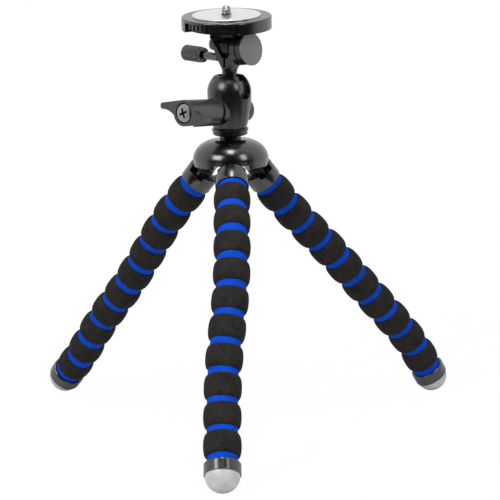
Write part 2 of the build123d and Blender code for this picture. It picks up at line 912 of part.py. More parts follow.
def thumb_wheel():
    bottom, top = wheel_span()
    height = top - bottom
    wheel = Cylinder(wheel_radius, height)
    step = 360 / wheel_ribs
    half = radians(step * wheel_rib_share / 2)
    root = wheel_radius - wheel_rib_depth
    reach = wheel_radius + overrun
    notch = Plane.XY * make_face(Polyline(
        (root, root * sin(half)),
        (reach, reach * sin(half)),
        (reach, -reach * sin(half)),
        (root, -root * sin(half)),
        close=True,
    ))
    cut = Pos(0, 0, -height) * extrude(notch, 2 * height)
    cuts = [Rot(0, 0, number * step) * cut for number in range(wheel_ribs)]
    wheel -= cuts
    wheel -= Cylinder(screw_radius + seat_gap, 2 * height)
    wheel -= Pos(0, 0, -height / 2) * Cylinder(
        screw_flange_radius + seat_gap, 2 * (screw_flange_height + seat_gap)
    )
    return Pos(platform_offset, 0, (bottom + top) / 2) * wheel


def camera_screw():
    bottom, top = wheel_span()
    seat = platform_top + pad_height
    tip = seat + screw_rise
    screw = turned_outline([
        (0, bottom),
        (screw_flange_radius, bottom),
        (screw_flange_radius, bottom + screw_flange_height),
        (screw_neck_radius, bottom + screw_flange_height),
        (screw_neck_radius, seat + screw_neck_rise),
        (screw_radius, seat + screw_neck_rise),
        (screw_radius, tip - screw_tip),
        (screw_radius - screw_tip, tip),
        (0, tip),
    ])
    return Pos(platform_offset, 0, 0) * screw


def top_pad():
    pad = turned_outline([
        (screw_radius + screw_hole_gap, platform_top),
        (pad_radius, platform_top),
        (pad_radius, platform_top + pad_height - pad_edge),
        (pad_radius - pad_edge, platform_top + pad_height),
        (screw_radius + screw_hole_gap, platform_top + pad_height),
    ])
    return Pos(platform_offset, 0, 0) * pad


def build_parts():
    """Every node by name, before the whole part is centred over the origin."""
    parts = {}
    chains = {leg: standing_chain(leg) for leg in leg_headings}
    one_pod = pod()
    for leg, chain in chains.items():
        parts[f"{leg}_leg_socket"] = chain[0] * leg_socket()
        for number in range(1, pod_count + 1):
            parts[f"{leg}_foam_pod_{number:02d}"] = chain[number] * one_pod
        parts[f"{leg}_foot_cup"] = chain[-1] * foot_cup()
        parts[f"{leg}_rubber_foot"] = chain[-1] * rubber_foot()
    parts["foam_cores"] = Compound(children=[core_tube(chain) for chain in chains.values()])
    parts["core_wires"] = Compound(children=[core_wire(chain) for chain in chains.values()])
    parts["hub_dome"] = hub_dome()
    parts["hub_core"] = hub_core()
    parts["hinge_pins"] = hinge_pins()
    parts["head_base"] = head_base()
    front, rear = housing()
    parts["housing_front"] = head_place() * front
    parts["housing_rear"] = head_place() * rear
    parts["clamp_nut"] = head_place() * clamp_nut()
    parts["clamp_lever"] = head_place() * clamp_lever()
    parts["lever_screw"] = head_place() * lever_screw()
    parts["ball_liner"] = stem_place() * ball_liner()
    parts["ball_stem"] = stem_place() * ball_stem()
    parts["tilt_axle"] = stem_place() * tilt_axle()
    parts["tilt_cap"] = stem_place() * tilt_cap()
    parts["tilt_knob"] = stem_place() * tilt_knob()
    parts["platform_base"] = platform_place() * platform_base()
    parts["platform_cover"] = platform_place() * platform_cover()
    parts["thumb_wheel"] = platform_place() * thumb_wheel()
    parts["camera_screw"] = platform_place() * camera_screw()
    parts["top_pad"] = platform_place() * top_pad()
    return parts


def centring(parts):
    """The shift that puts the middle of the part's footprint over the origin."""
    boxes = [part.bounding_box() for part in parts.values()]
    low_x = min(box.min.X for box in boxes)
    high_x = max(box.max.X for box in boxes)
    low_y = min(box.min.Y for box in boxes)
    high_y = max(box.max.Y for box in boxes)
    low_z = min(box.min.Z for box in boxes)
    return Vector(-(low_x + high_x) / 2, -(low_y + high_y) / 2, -low_z)


def main():
    parts = build_parts()
    shift = centring(parts)
    os.makedirs("parts", exist_ok=True)
    for name, part in parts.items():
        export_step(Pos(shift) * part, f"parts/{name}.step")
    print(len(parts), "nodes, centred by", round(shift.X, 3), round(shift.Y, 3), round(shift.Z, 3))


if __name__ == "__main__":
    main()
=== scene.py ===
import bpy
import bmesh
import json
from math import pi, radians, sqrt
from mathutils import Matrix, Vector


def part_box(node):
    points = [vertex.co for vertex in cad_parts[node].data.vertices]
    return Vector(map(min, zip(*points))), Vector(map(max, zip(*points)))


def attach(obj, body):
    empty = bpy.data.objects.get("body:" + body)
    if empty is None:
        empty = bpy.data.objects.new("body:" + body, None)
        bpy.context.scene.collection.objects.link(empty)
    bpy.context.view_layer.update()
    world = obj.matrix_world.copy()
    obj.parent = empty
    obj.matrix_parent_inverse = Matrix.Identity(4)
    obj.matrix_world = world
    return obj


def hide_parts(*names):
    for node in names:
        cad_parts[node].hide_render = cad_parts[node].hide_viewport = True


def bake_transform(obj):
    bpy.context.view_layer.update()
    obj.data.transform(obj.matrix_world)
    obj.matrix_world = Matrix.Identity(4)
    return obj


# Small camera tripod: three bendable foam legs, a domed hub and a ball head.
# It stands on z = 0 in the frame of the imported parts. The dictionaries of the pieces give
# lengths in millimetres and angles in degrees, and Blender itself works in metres.

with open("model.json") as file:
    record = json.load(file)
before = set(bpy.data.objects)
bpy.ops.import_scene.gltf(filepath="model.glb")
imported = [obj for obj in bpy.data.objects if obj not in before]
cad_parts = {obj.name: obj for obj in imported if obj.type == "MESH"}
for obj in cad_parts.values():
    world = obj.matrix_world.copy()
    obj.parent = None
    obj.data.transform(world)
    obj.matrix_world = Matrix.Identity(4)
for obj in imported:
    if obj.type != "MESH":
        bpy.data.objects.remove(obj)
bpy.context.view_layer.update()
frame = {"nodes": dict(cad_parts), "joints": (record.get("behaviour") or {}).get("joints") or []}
joints = {joint["name"]: joint for joint in frame["joints"]}
mm = 0.001
weldGap = 0.002 * mm  # points nearer than this are merged
legNames = ("front", "left", "right")
podCount = 10
print("frame loaded:", len(frame["nodes"]), "nodes")


# Places taken from the joints

# a leg's bends from the hub down: one at the ring above each pod
ringJoints = ["curl_upper", "sway_upper", "curl_upper_2", "sway_upper_2", "curl_upper_3",
              "sway_lower", "curl_lower", "sway_lower_2", "curl_lower_2", "sway_lower_3"]


def jointPoint(name):
    return Vector(joints[name]["pos_m"])


def jointAxis(name):
    return Vector(joints[name]["axis"]).normalized()


# a frame with Z along up and X as near as it can be to nearX
def axisFrame(origin, up, nearX):
    z = up.normalized()
    y = z.cross(nearX).normalized()
    x = y.cross(z)
    matrix = Matrix((x, y, z)).transposed().to_4x4()
    matrix.translation = origin
    return matrix


# the socket's frame at its hinge, then each pod's frame at the ring above it:
# X points outward and Z back up the leg
def legFrames(leg):
    points = [jointPoint(leg + "_leg_spread")]
    points += [jointPoint(leg + "_" + name) for name in ringJoints]
    lastAxis = jointAxis(leg + "_" + ringJoints[-1])  # in the leg's plane, square to the last pod
    flat = Vector((lastAxis.x, lastAxis.y, 0)).normalized()
    lastAlong = flat * lastAxis.z - Vector((0, 0, 1)) * sqrt(1 - lastAxis.z ** 2)
    frames = []
    for number, point in enumerate(points):
        along = points[number + 1] - point if number < podCount else lastAlong
        outward = Vector((along.x, along.y, 0)).normalized()
        frames.append(axisFrame(point, -along, outward))
    return frames


legs = {leg: legFrames(leg) for leg in legNames}
podPitch = (jointPoint("front_sway_upper") - jointPoint("front_curl_upper")).length
hubAxis = jointPoint("head_pan")


# Camera

camera = {"side": 4.67, "distance": 1500, "height": 415.3, "clipEnd": 20000,
          "down": 11.13, "turn": 0.26, "roll": -1.2, "lens": 164.38, "sensor": 36}


def makeCamera():
    data = bpy.data.cameras.new("camera")
    data.lens = camera["lens"]
    data.sensor_width = camera["sensor"]
    data.clip_end = camera["clipEnd"] * mm
    rig = bpy.data.objects.new("camera", data)
    turn = Matrix.Rotation(radians(-camera["turn"]), 4, "Z")
    tip = Matrix.Rotation(radians(90 - camera["down"]), 4, "X")
    roll = Matrix.Rotation(radians(camera["roll"]), 4, "Z")
    rig.matrix_world = turn @ tip @ roll
    rig.location = (hubAxis.x + camera["side"] * mm, hubAxis.y - camera["distance"] * mm,
                    camera["height"] * mm)
    bpy.context.scene.collection.objects.link(rig)
    bpy.context.scene.camera = rig


makeCamera()


# Shader maths

# a socket of a shader tree, whose sums and products add their own Math nodes
class Wire:

    def __init__(self, tree, socket):
        self.tree = tree
        self.socket = socket

    def node(self, kind, settings=None, inputs=None, output=0):
        made = self.tree.nodes.new(kind)
        for name, value in (settings or {}).items():
            setattr(made, name, value)
        for name, value in (inputs or {}).items():
            if isinstance(value, Wire):
                self.tree.links.new(value.socket, made.inputs[name])
            else:
                made.inputs[name].default_value = value
        return Wire(self.tree, made.outputs[output])

    def maths(self, operation, first, second):
        return self.node("ShaderNodeMath", {"operation": operation}, {0: first, 1: second})

    def __add__(self, other):
        return self.maths("ADD", self, other)

    def __radd__(self, other):
        return self.maths("ADD", other, self)

    def __mul__(self, other):
        return self.maths("MULTIPLY", self, other)

    def __rmul__(self, other):
        return self.maths("MULTIPLY", other, self)

    def atMost(self, limit):
        return self.maths("MINIMUM", self, limit)

    def smooth(self, low, high):
        return self.node("ShaderNodeMapRange", {"interpolation_type": "SMOOTHSTEP"},
                         {"Value": self, "From Min": low, "From Max": high})

    # blends two colours by this value: 6 and 7 are the Mix node's colour sockets
    def mix(self, first, second):
        return self.node("ShaderNodeMix", {"data_type": "RGBA"}, {0: self, 6: first, 7: second}, 2)


# a colour as it is seen, 0 to 255, turned into the linear values that shaders take
def rgb(red, green, blue):
    values = []
    for value in (red, green, blue):
        part = value / 255
        values.append(part / 12.92 if part <= 0.04045 else ((part + 0.055) / 1.055) ** 2.4)
    return (*values, 1)


def tint(shade, share):
    return [value * share for value in shade[:3]] + [1]


def grain(place, scale, detail=3.0, roughness=0.55):
    return place.node("ShaderNodeTexNoise", {}, {"Vector": place, "Scale": scale,
                                                 "Detail": detail, "Roughness": roughness})


# a normal that rounds sharp edges by this radius, for pieces shown straight from the solids
def softEdge(place, radius):
    return place.node("ShaderNodeBevel", {"samples": 4}, {"Radius": radius * mm})


def bump(height, strength, depth, normal=None):
    inputs = {"Height": height, "Strength": strength, "Distance": depth * mm}
    if normal:
        inputs["Normal"] = normal
    return height.node("ShaderNodeBump", {}, inputs)


def newMaterial(name, build, specular=0.5, coat=0.0, coatRoughness=0.1):
    material = bpy.data.materials.new(name)
    material.use_nodes = True
    tree = material.node_tree
    shader = tree.nodes["Principled BSDF"]
    shader.inputs["Specular IOR Level"].default_value = specular
    shader.inputs["Coat Weight"].default_value = coat
    shader.inputs["Coat Roughness"].default_value = coatRoughness
    place = Wire(tree, None).node("ShaderNodeTexCoord", output="Object")
    for socketName, value in build(place).items():
        if isinstance(value, Wire):
            tree.links.new(value.socket, shader.inputs[socketName])
        else:
            shader.inputs[socketName].default_value = value
    return material


# Moulded plastic: satin, with a fine grain and slightly uneven gloss

plastic = {"grain": 0.35, "grainStrength": 0.35, "grainDepth": 0.006,
           "patches": 90, "patchDetail": 2.0,  # patches to the metre
           "contrast": (0.3, 0.7), "mottle": 0.14, "glossSpread": 0.1}


def mouldedPlastic(name, shade, rough, specular=0.8, edge=0.22):
    def build(place):
        fine = grain(place, 1 / (plastic["grain"] * mm))
        broad = grain(place, plastic["patches"], plastic["patchDetail"])
        spread = plastic["glossSpread"]
        return {"Base Color": (fine * 0.5 + broad * 0.5).smooth(*plastic["contrast"]).mix(
                    tint(shade, 1 - plastic["mottle"]), tint(shade, 1 + plastic["mottle"])),
                "Roughness": rough - spread / 2 + broad * spread,
                "Normal": bump(fine, plastic["grainStrength"], plastic["grainDepth"],
                               softEdge(place, edge))}
    return newMaterial(name, build, specular)


# Closed-cell foam: a fine speckle of open cells over a softer unevenness

foam = {"cellDetail": 4.0, "cellRoughness": 0.7, "cellShare": 0.75,
        "patches": 160, "patchDetail": 2.0,  # patches to the metre
        "contrast": (0.33, 0.67), "rough": 0.86, "roughSpread": 0.1,
        "bumpStrength": 0.6, "bumpDepth": 0.12, "specular": 0.12}


def foamSkin(name, dark, light, cell):
    def build(place):
        cells = grain(place, 1 / (cell * mm), foam["cellDetail"], foam["cellRoughness"])
        patches = grain(place, foam["patches"], foam["patchDetail"])
        speckle = cells * foam["cellShare"] + patches * (1 - foam["cellShare"])
        return {"Base Color": speckle.smooth(*foam["contrast"]).mix(dark, light),
                "Roughness": foam["rough"] + patches * foam["roughSpread"],
                "Normal": bump(cells, foam["bumpStrength"], foam["bumpDepth"])}
    return newMaterial(name, build, foam["specular"])


# Turned and plated steel with fine lathe marks

steel = {"marks": 2400, "markDetail": 2.0, "roughSpread": 0.12, "edge": 0.12}  # marks to the metre


def brightSteel(name, shade, rough):
    def build(place):
        marks = grain(place, steel["marks"], steel["markDetail"])
        spread = steel["roughSpread"]
        return {"Base Color": shade, "Metallic": 1.0,
                "Roughness": rough - spread / 2 + marks * spread,
                "Normal": softEdge(place, steel["edge"])}
    return newMaterial(name, build)


# Foot rubber: a little cloudy under a soft shine

rubber = {"clouds": 140, "specks": 3000, "speckDetail": 2.0,  # clouds and specks to the metre
          "contrast": (0.3, 0.7), "shaded": 0.82, "rough": 0.34, "roughSpread": 0.14,
          "bumpStrength": 0.3, "bumpDepth": 0.01, "coat": 0.25, "coatRoughness": 0.3}


def cloudyRubber(name, shade):
    def build(place):
        cloud = grain(place, rubber["clouds"])
        fine = grain(place, rubber["specks"], rubber["speckDetail"])
        return {"Base Color": cloud.smooth(*rubber["contrast"]).mix(
                    tint(shade, rubber["shaded"]), shade),
                "Roughness": rubber["rough"] + cloud * rubber["roughSpread"],
                "Normal": bump(fine, rubber["bumpStrength"], rubber["bumpDepth"])}
    return newMaterial(name, build, coat=rubber["coat"], coatRoughness=rubber["coatRoughness"])


# each finish: colour, roughness, then specular level and rounded edge where they differ
materials = {
    "head": mouldedPlastic("headPlastic", rgb(5, 5, 6), 0.3),
    "lever": mouldedPlastic("leverPlastic", rgb(34, 34, 34), 0.4, 1.0),
    "collar": mouldedPlastic("collarPlastic", rgb(12, 12, 13), 0.21, 1.0),
    "dome": mouldedPlastic("domePlastic", rgb(5, 5, 6), 0.22, 1.0),
    "inner": mouldedPlastic("innerPlastic", rgb(12, 12, 12), 0.5),
    "cover": mouldedPlastic("coverPlastic", rgb(10, 10, 11), 0.24, 1.0),
    "tongue": mouldedPlastic("tonguePlastic", rgb(4, 4, 4), 0.45, 0.35),
    "neck": mouldedPlastic("neckPlastic", rgb(5, 5, 5), 0.3),
    "wheel": mouldedPlastic("wheelPlastic", rgb(12, 12, 13), 0.26, 1.0, edge=0.15),
    "cap": mouldedPlastic("capPlastic", rgb(104, 104, 106), 0.32, 1.0, edge=0.5),
    "knob": mouldedPlastic("knobPlastic", rgb(44, 44, 44), 0.4),
    "ball": mouldedPlastic("ballPlastic", rgb(58, 58, 60), 0.3, 1.0),
    # painted shade: near-black for the screw's cross recess and for a painted shadow ring under
    # its head
    "pit": mouldedPlastic("recessShade", rgb(5, 5, 5), 0.6, 0.3),
    "foam": foamSkin("blackFoam", rgb(18, 17, 17), rgb(50, 48, 46), 0.75),
    "blue": foamSkin("blueFoam", rgb(2, 56, 166), rgb(6, 78, 204), 0.6),
    "rubber": cloudyRubber("footRubber", rgb(188, 188, 186)),
    "steel": brightSteel("platedSteel", rgb(160, 160, 160), 0.28),
    "shaft": brightSteel("shaftSteel", rgb(100, 100, 100), 0.2),
    "pad": brightSteel("padMetal", rgb(222, 222, 222), 0.3),
}

nodeFinish = {"hub_dome": "dome", "hub_core": "inner", "hinge_pins": "steel", "head_base": "head",
              "housing_front": "head", "housing_rear": "head", "clamp_nut": "lever",
              "clamp_lever": "lever", "lever_screw": "steel", "ball_liner": "ball",
              "ball_stem": "head", "tilt_axle": "steel", "tilt_cap": "cap", "tilt_knob": "knob",
              "platform_base": "tongue", "platform_cover": "cover", "thumb_wheel": "wheel",
              "camera_screw": "steel", "top_pad": "pad", "foam_cores": "blue",
              "core_wires": "steel"}
for nodeName, node in frame["nodes"].items():
    finish = nodeFinish.get(nodeName)
    if "foam_pod" in nodeName:
        finish = "foam"
    elif "leg_socket" in nodeName or "foot_cup" in nodeName:
        finish = "collar"
    elif "rubber_foot" in nodeName:
        finish = "rubber"
    node.data.materials.clear()
    node.data.materials.append(materials[finish])
print("materials made")


# Shared ways of making a piece

# spins a profile of (radius, height) points round Z
def lathe(profile, steps=72, closed=False):
    shape = bmesh.new()
    points = [shape.verts.new((radius * mm, 0, height * mm)) for radius, height in profile]
    pairs = list(zip(points, points[1:]))
    if closed:
        pairs.append((points[-1], points[0]))
    edges = [shape.edges.new(pair) for pair in pairs]
    bmesh.ops.spin(shape, geom=points + edges, cent=(0, 0, 0), axis=(0, 0, 1),
                   angle=2 * pi, steps=steps, use_merge=True)
    bmesh.ops.remove_doubles(shape, verts=shape.verts, dist=weldGap)
    bmesh.ops.recalc_face_normals(shape, faces=shape.faces)
    return shape


def block(sizeX, sizeY, sizeZ, centre=(0, 0, 0)):
    shape = bmesh.new()
    bmesh.ops.create_cube(shape, size=1)
    bmesh.ops.scale(shape, vec=(sizeX * mm, sizeY * mm, sizeZ * mm), verts=shape.verts)
    bmesh.ops.translate(shape, vec=[value * mm for value in centre], verts=shape.verts)
    return shape


def roundEdges(shape, width, segments=3):
    sharp = [edge for edge in shape.edges
             if len(edge.link_faces) == 2 and edge.calc_face_angle() > radians(30)]
    bmesh.ops.bevel(shape, geom=sharp, offset=width * mm, segments=segments, profile=0.5,
                    affect="EDGES", material=-1, clamp_overlap=True)
    return shape


def joinTo(shape, extra):
    mesh = bpy.data.meshes.new("extra")
    extra.to_mesh(mesh)
    extra.free()
    shape.from_mesh(mesh)
    bpy.data.meshes.remove(mesh)


def looseObject(shape):
    mesh = bpy.data.meshes.new("loose")
    shape.to_mesh(mesh)
    shape.free()
    item = bpy.data.objects.new("loose", mesh)
    bpy.context.scene.collection.objects.link(item)
    return item


# cuts one loose object out of another and drops the cutter
def cutWith(item, cutter):
    modifier = item.modifiers.new("cut", "BOOLEAN")
    modifier.operation = "DIFFERENCE"
    modifier.object = cutter
    modifier.solver = "EXACT"
    seen = bpy.context.evaluated_depsgraph_get()
    cut = bpy.data.meshes.new_from_object(item.evaluated_get(seen))
    item.modifiers.clear()
    old = item.data
    item.data = cut
    bpy.data.meshes.remove(old)
    bpy.data.objects.remove(cutter)


# takes a loose object's mesh back into a shape and drops the object
def backToShape(item):
    shape = bmesh.new()
    shape.from_mesh(item.data)
    bpy.data.objects.remove(item)
    return shape


# puts a shape in its place in the frame and hides the CAD nodes that it stands for
def finishPiece(name, shape, place, finish, nodes, sharpAngle=40):
    shape.transform(place)
    mesh = bpy.data.meshes.new(name)
    shape.to_mesh(mesh)
    shape.free()
    mesh.polygons.foreach_set("use_smooth", [True] * len(mesh.polygons))
    mesh.set_sharp_from_angle(angle=radians(sharpAngle))
    mesh.materials.append(materials[finish])
    piece = bpy.data.objects.new(name, mesh)
    bpy.context.scene.collection.objects.link(piece)
    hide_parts(*nodes)
    return piece


# Foam legs: black pods over one blue core with a bendable wire in it

foamLeg = {"groove": 4.15, "core": 9.75, "wire": 1.5, "wireBore": 1.56, "collarRecess": 2.5,
           "cupRecess": 1.7, "wireGrip": 7.5, "wireFoot": 4.5,
           "podSteps": 80, "coreSteps": 72, "wireSteps": 20,
           # share of the half length and radius, from the middle to the end face
           "outline": ((0, 12.0), (0.35, 11.9), (0.6, 11.65), (0.78, 11.3), (0.9, 10.85),
                       (0.965, 10.4), (0.995, 9.98), (1.0, 9.9))}


def makePod(leg, number):
    pitch = podPitch / mm
    half = (pitch - foamLeg["groove"]) / 2
    upper = [(radius, share * half) for share, radius in foamLeg["outline"]]
    lower = [(radius, -share * half) for share, radius in foamLeg["outline"][1:]]
    shape = lathe(upper[::-1] + lower, foamLeg["podSteps"], closed=True)
    place = legs[leg][number] @ Matrix.Translation((0, 0, -pitch / 2 * mm))
    name = f"{leg}_foam_pod_{number:02d}"
    pod = finishPiece(f"{leg}Pod{number:02d}", shape, place, "foam", [name], sharpAngle=60)
    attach(pod, f"{leg}_pod_{number:02d}")


# above the ring points follow the upper frame, below it the lower one
def bendAcross(shape, upper, lower, reach):
    for point in shape.verts:
        share = min(max((reach - point.co.z) / (2 * reach), 0), 1)
        share = share * share * (3 - 2 * share)
        point.co = (upper @ point.co).lerp(lower @ point.co, share)
    return shape


# the stretch of core and wire that bends at one ring, from pod middle to pod middle:
# the first also fills the collar's recess, and the last the cup's
def makeCore(leg, ring):
    pitch = podPitch / mm
    reach = foamLeg["groove"] / 2
    first, last = ring == 1, ring == podCount + 1
    top = reach + foamLeg["collarRecess"] if first else pitch / 2
    bottom = -reach - foamLeg["cupRecess"] if last else -pitch / 2
    wireTop = top + foamLeg["wireGrip"] if first else top
    wireBottom = bottom - foamLeg["wireFoot"] if last else bottom
    lower = legs[leg][min(ring, podCount)].copy()
    if last:
        lower = lower @ Matrix.Translation((0, 0, -podPitch))
    upper = legs[leg][ring - 1].copy()
    upper.translation = lower.translation
    bodies = [f"{leg}_socket"] + [f"{leg}_pod_{number:02d}" for number in range(1, podCount + 1)]
    heights = [top, reach, reach / 3, -reach / 3, -reach, bottom]
    core = lathe([(foamLeg["core"], height) for height in heights]
                 + [(foamLeg["wireBore"], height) for height in heights[::-1]],
                 foamLeg["coreSteps"], closed=True)
    wireHeights = [wireTop, reach, 0, -reach, wireBottom]
    wire = lathe([(0, wireTop)] + [(foamLeg["wire"], height) for height in wireHeights]
                 + [(0, wireBottom)], foamLeg["wireSteps"])
    for kind, shape, finish, node in (("Core", core, "blue", "foam_cores"),
                                      ("Wire", wire, "steel", "core_wires")):
        bendAcross(shape, upper, lower, reach * mm)
        piece = finishPiece(f"{leg}{kind}{ring:02d}", shape, Matrix.Identity(4), finish, [node])
        if last:
            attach(piece, bodies[podCount])
        else:
            point = lower.translation
            along = (upper.col[2] + lower.col[2]).to_3d().normalized() * reach * mm
            point + along
            point - along
            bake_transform(piece)


for leg in legNames:
    for number in range(1, podCount + 1):
        makePod(leg, number)
    for ring in range(1, podCount + 2):
        makeCore(leg, ring)
print("foam legs made")


# Leg sockets: a glossy collar with a channel across its top and a ribbed black neck

socket = {"collarRadius": 11.0, "collarTop": -8.125, "collarBottom": -19.125, "edge": 0.45,
          "recess": 2.8, "recessRadius": 10.3, "channelHalf": 5.7, "channelDepth": 3.0,
          "neckRadius": 5.6, "neckTop": -5.5, "neckSunk": 0.3, "ribs": 3, "ribGap": 0.9,
          "ribDepth": 0.7, "ribEdge": 0.18, "eyeRadius": 4.6, "eyeWidth": 7.0,
          "collarSteps": 96, "neckSteps": 64, "eyeSteps": 48}


def makeCollar(leg):
    top, bottom = socket["collarTop"], socket["collarBottom"]
    floor = bottom + socket["recess"]
    collar = looseObject(lathe([(0, top), (socket["collarRadius"], top),
                                (socket["collarRadius"], bottom), (socket["recessRadius"], bottom),
                                (socket["recessRadius"], floor), (0, floor)],
                               socket["collarSteps"]))
    cutWith(collar, looseObject(block(2 * socket["channelHalf"], 3 * socket["collarRadius"],
                                      2 * socket["channelDepth"], (0, 0, top))))
    shape = backToShape(collar)
    bmesh.ops.remove_doubles(shape, verts=shape.verts, dist=weldGap)
    roundEdges(shape, socket["edge"])
    piece = finishPiece(f"{leg}Collar", shape, legs[leg][0], "collar", [f"{leg}_leg_socket"])
    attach(piece, f"{leg}_socket")


def makeNeck(leg):
    start = socket["collarTop"] - socket["channelDepth"] - socket["neckSunk"]
    end = socket["neckTop"]
    step = (end - start) / socket["ribs"]
    outer = socket["neckRadius"]
    inner = outer - socket["ribDepth"]
    profile = [(0, start), (outer, start)]
    for rib in range(socket["ribs"]):
        low = start + step * rib + (step - socket["ribGap"]) / 2
        high = low + socket["ribGap"]
        profile += [(outer, low), (inner, low), (inner, high), (outer, high)]
    profile += [(outer, end), (0, end)]
    neck = roundEdges(lathe(profile, socket["neckSteps"]), socket["ribEdge"], segments=2)
    eye = bmesh.new()
    bmesh.ops.create_cone(eye, cap_ends=True, segments=socket["eyeSteps"],
                          radius1=socket["eyeRadius"] * mm, radius2=socket["eyeRadius"] * mm,
                          depth=socket["eyeWidth"] * mm,
                          matrix=Matrix.Rotation(radians(90), 4, "X"))
    joinTo(neck, eye)
    joinTo(neck, block(2 * socket["eyeRadius"], socket["eyeWidth"], -end, (0, 0, end / 2)))
    piece = finishPiece(f"{leg}Neck", neck, legs[leg][0], "neck", [f"{leg}_leg_socket"])
    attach(piece, f"{leg}_socket")


for leg in legNames:
    makeCollar(leg)
    makeNeck(leg)
print("sockets made")


# Tilt knob: a knurled grip on a bright shaft. Heights are from the yoke's middle, outwards.

knobFrame = axisFrame(jointPoint("knob_turn"), jointAxis("knob_turn"), Vector((0, 0, 1)))
knob = {"start": 22.8, "length": 16.8, "radius": 5.3, "edge": 1.3, "edgeWidth": 0.45,
        "edgeRise": 0.4, "boreRadius": 4.1, "boreDepth": 0.8, "collarRadius": 4.9,
        "collarLength": 2.2, "collarStep": 0.3, "shaftRadius": 2.7, "shaftEdge": 0.3,
        "shaftSunk": 0.9, "screwRadius": 1.7, "screwReach": -4.6, "face": 9.3,
        "knurls": 34, "knurlPitch": 1.05, "knurlDepth": 0.34, "rings": 72, "gripSteps": 204,
        "shaftSteps": 48}


# presses crossed grooves into the grip between two heights
def knurl(grip, first, last):
    for point in grip.verts:
        radius = sqrt(point.co.x ** 2 + point.co.y ** 2) / mm
        height = point.co.z / mm
        if radius > knob["radius"] - 0.01 and first < height < last:
            angle = Vector((point.co.x, point.co.y)).angle_signed(Vector((1, 0)))
            around = angle / (2 * pi) * knob["knurls"]
            along = (height - first) / (2 * knob["knurlPitch"])
            lines = [abs((around + side * along) % 1 - 0.5) * 2 for side in (1, -1)]
            cut = knob["knurlDepth"] * (1 - min(lines)) ** 2
            point.co.x *= 1 - cut / radius
            point.co.y *= 1 - cut / radius


def makeKnob():
    start, end = knob["start"], knob["start"] + knob["length"]
    first, last = start + knob["collarLength"], end - knob["edge"]
    body = [(knob["radius"], first + (last - first) * count / knob["rings"])
            for count in range(knob["rings"] + 1)]
    grip = lathe([(0, start + knob["boreDepth"]), (knob["boreRadius"], start + knob["boreDepth"]),
                  (knob["boreRadius"], start), (knob["collarRadius"], start),
                  (knob["collarRadius"], first - knob["collarStep"])] + body
                 + [(knob["radius"] - knob["edgeWidth"], end - knob["edgeRise"]),
                    (knob["radius"] - knob["edge"], end), (0, end)], knob["gripSteps"])
    knurl(grip, first, last)
    piece = finishPiece("knobGrip", grip, knobFrame, "knob", ["tilt_knob"], sharpAngle=35)
    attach(piece, "knob")
    shaftEnd = start + knob["shaftSunk"]
    shaft = lathe([(0, knob["screwReach"]), (knob["screwRadius"], knob["screwReach"]),
                   (knob["screwRadius"], knob["face"]),
                   (knob["shaftRadius"] - knob["shaftEdge"], knob["face"]),
                   (knob["shaftRadius"], knob["face"] + knob["shaftEdge"]),
                   (knob["shaftRadius"], shaftEnd), (0, shaftEnd)], knob["shaftSteps"])
    piece = finishPiece("knobShaft", shaft, knobFrame, "shaft", ["tilt_knob"])
    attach(piece, "knob")


makeKnob()


# Camera screw with its thread. Heights are from the pad's underside.

topFrame = axisFrame(jointPoint("wheel_turn"), jointAxis("wheel_turn"), Vector((1, 0, 0)))
screw = {"radius": 3.175, "root": 2.62, "pitch": 1.27, "turns": 3.4, "bottom": -6.0, "rise": 6.4,
         "tip": 0.6, "flangeRadius": 6.4, "flangeHeight": 1.3, "steps": 48,
         # the thread's ridge: half its foot as a share of the pitch, half its crest,
         # how far it is sunk, and how far it stays below the tip, in turns
         "foot": 0.44, "crest": 0.08, "sunk": 0.1, "below": 0.35}


def makeScrew():
    tip, root = screw["rise"], screw["root"]
    low = (Vector(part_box("camera_screw")[0]) - topFrame.translation).z / mm
    low = max(low, screw["bottom"])
    shoulder = low + screw["flangeHeight"]
    rod = lathe([(0, low), (screw["flangeRadius"], low), (screw["flangeRadius"], shoulder),
                 (root, shoulder), (root, tip - screw["tip"]), (root - screw["tip"], tip),
                 (0, tip)], screw["steps"])
    half = screw["pitch"] * screw["foot"]
    corners = [(root - screw["sunk"], -half), (screw["radius"], -screw["crest"]),
               (screw["radius"], screw["crest"]), (root - screw["sunk"], half)]
    start = tip - screw["tip"] - screw["pitch"] * (screw["turns"] + screw["below"])
    ridge = bmesh.new()
    points = [ridge.verts.new((radius * mm, 0, (start + height) * mm))
              for radius, height in corners]
    face = ridge.faces.new(points)
    steps = int(screw["steps"] * screw["turns"])
    bmesh.ops.spin(ridge, geom=[face] + points + list(face.edges), cent=(0, 0, 0), axis=(0, 0, 1),
                   dvec=(0, 0, screw["pitch"] * screw["turns"] / steps * mm),
                   angle=2 * pi * screw["turns"], steps=steps, use_merge=False)
    bmesh.ops.recalc_face_normals(ridge, faces=ridge.faces)
    joinTo(rod, ridge)
    piece = finishPiece("cameraScrew", rod, topFrame, "steel", ["camera_screw"], sharpAngle=30)
    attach(piece, "wheel")


# Bright pad round the screw

pad = {"radius": 22.6, "height": 1.1, "edge": 0.35, "hole": 3.6, "stepRadius": 21.5,
       "stepDepth": 0.12, "stepWidth": 0.15, "fineEdge": 0.06, "steps": 128}


def makePad():
    top = pad["height"]
    rim = top - pad["stepDepth"]
    disc = lathe([(pad["hole"], 0), (pad["radius"], 0), (pad["radius"], top - pad["edge"]),
                  (pad["radius"] - pad["edge"], rim), (pad["stepRadius"], rim),
                  (pad["stepRadius"] - pad["stepWidth"], top), (pad["hole"], top)],
                 pad["steps"], closed=True)
    roundEdges(disc, pad["fineEdge"], segments=2)
    piece = finishPiece("topPad", disc, topFrame, "pad", ["top_pad"])
    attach(piece, "platform")
